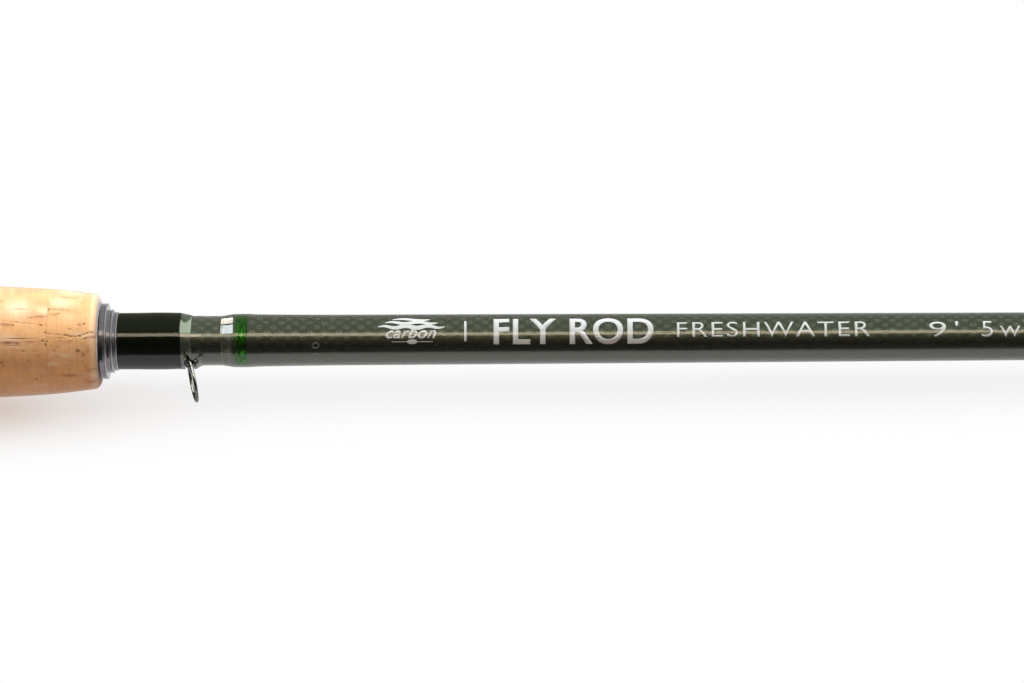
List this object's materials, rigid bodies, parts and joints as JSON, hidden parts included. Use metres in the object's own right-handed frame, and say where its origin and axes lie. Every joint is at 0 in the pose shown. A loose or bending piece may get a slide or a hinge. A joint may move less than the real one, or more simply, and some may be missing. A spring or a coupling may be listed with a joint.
{
  "type": "fly rod",
  "caption": "Long tapered fly fishing rod in slip-together sections, with a cork grip, an uplocking reel seat, a folding hook keeper and wire line guides.",
  "frame": {"origin": "centre of the butt's end face, on the rod's axis", "axes": "+X along the rod to its tip; the reel, the hook keeper and the guides hang towards -Z; the lettered side faces -Y"},
  "size_m": [2.7432, 0.025, 0.0313],
  "materials": {
    "cork": "sanded cork, unsealed",
    "seat_metal": "dark anodised",
    "rubber": "matt",
    "arbor": "foamed filler",
    "seat_wood": "oiled burl, satin",
    "clip_steel": "spring steel",
    "check_metal": "dark polished",
    "carbon": "woven carbon under clear gloss",
    "dark_thread": "nylon thread under gloss epoxy",
    "green_thread": "metallic thread",
    "epoxy": "clear gloss epoxy",
    "keeper_metal": "dark polished wire",
    "guide_frame": "gunmetal plate",
    "guide_ceramic": "polished",
    "guide_wire": "hard chromed wire"
  },
  "bodies": {
    "butt_section": {"butt_pad": "rubber", "butt_cap": "seat_metal", "seat_barrel": "seat_metal", "barrel_arbor": "arbor", "seat_insert": "seat_wood", "fixed_hood": "seat_metal", "cork_ring_01": "cork", "cork_ring_02": "cork", "cork_ring_03": "cork", "cork_ring_04": "cork", "cork_ring_05": "cork", "cork_ring_06": "cork", "cork_ring_07": "cork", "cork_ring_08": "cork", "cork_ring_09": "cork", "cork_ring_10": "cork", "cork_ring_11": "cork", "cork_ring_12": "cork", "cork_ring_13": "cork", "cork_ring_14": "cork", "winding_check": "check_metal", "blank_butt": "carbon", "keeper_wrap": "dark_thread", "keeper_coat": "epoxy", "keeper_eye": "keeper_metal", "accent_wrap": "green_thread", "graphics_coat": "epoxy"},
    "hood": {"sliding_hood": "seat_metal", "hood_clip": "clip_steel"},
    "nut": {"lock_nut": "seat_metal"},
    "keeper": {"keeper_ring": "keeper_metal"},
    "second_section": {"blank_second": "carbon", "ferrule_wrap_second": "dark_thread", "stripper_frame_1": "guide_frame", "stripper_ring_1": "guide_ceramic", "stripper_wraps_1": "dark_thread", "stripper_frame_2": "guide_frame", "stripper_ring_2": "guide_ceramic", "stripper_wraps_2": "dark_thread"},
    "third_section": {"blank_third": "carbon", "ferrule_wrap_third": "dark_thread", "snake_wraps_third": "dark_thread", "snake_guide_1": "guide_wire", "snake_guide_2": "guide_wire", "snake_guide_3": "guide_wire"},
    "tip_section": {"blank_tip": "carbon", "ferrule_wrap_tip": "dark_thread", "snake_wraps_tip": "dark_thread", "tip_top": "guide_wire", "tip_top_wrap": "dark_thread", "snake_guide_4": "guide_wire", "snake_guide_5": "guide_wire", "snake_guide_6": "guide_wire", "snake_guide_7": "guide_wire"}
  },
  "joints": [
    {"name": "hood_slide", "type": "slide", "parent": "butt_section", "child": "hood", "axis": [1, 0, 0], "range_m": [0, 0.012]},
    {"name": "nut_turn", "type": "hinge", "parent": "hood", "child": "nut", "pos_m": [0.0145, 0, 0], "axis": [1, 0, 0], "range_deg": [0, 2880]},
    {"name": "keeper_swing", "type": "hinge", "parent": "butt_section", "child": "keeper", "pos_m": [0.2896, 0, -0.00515], "axis": [0, 1, 0], "range_deg": [-70, 82]},
    {"name": "ferrule_1", "type": "slide", "parent": "butt_section", "child": "second_section", "axis": [1, 0, 0], "range_m": [0, 0.06]},
    {"name": "ferrule_2", "type": "slide", "parent": "second_section", "child": "third_section", "axis": [1, 0, 0], "range_m": [0, 0.055]},
    {"name": "ferrule_3", "type": "slide", "parent": "third_section", "child": "tip_section", "axis": [1, 0, 0], "range_m": [0, 0.05]}
  ],
  "couplings": [
    {"joint": "hood_slide", "follows": "nut_turn", "m_per_rad": 0.00023873}
  ]
}
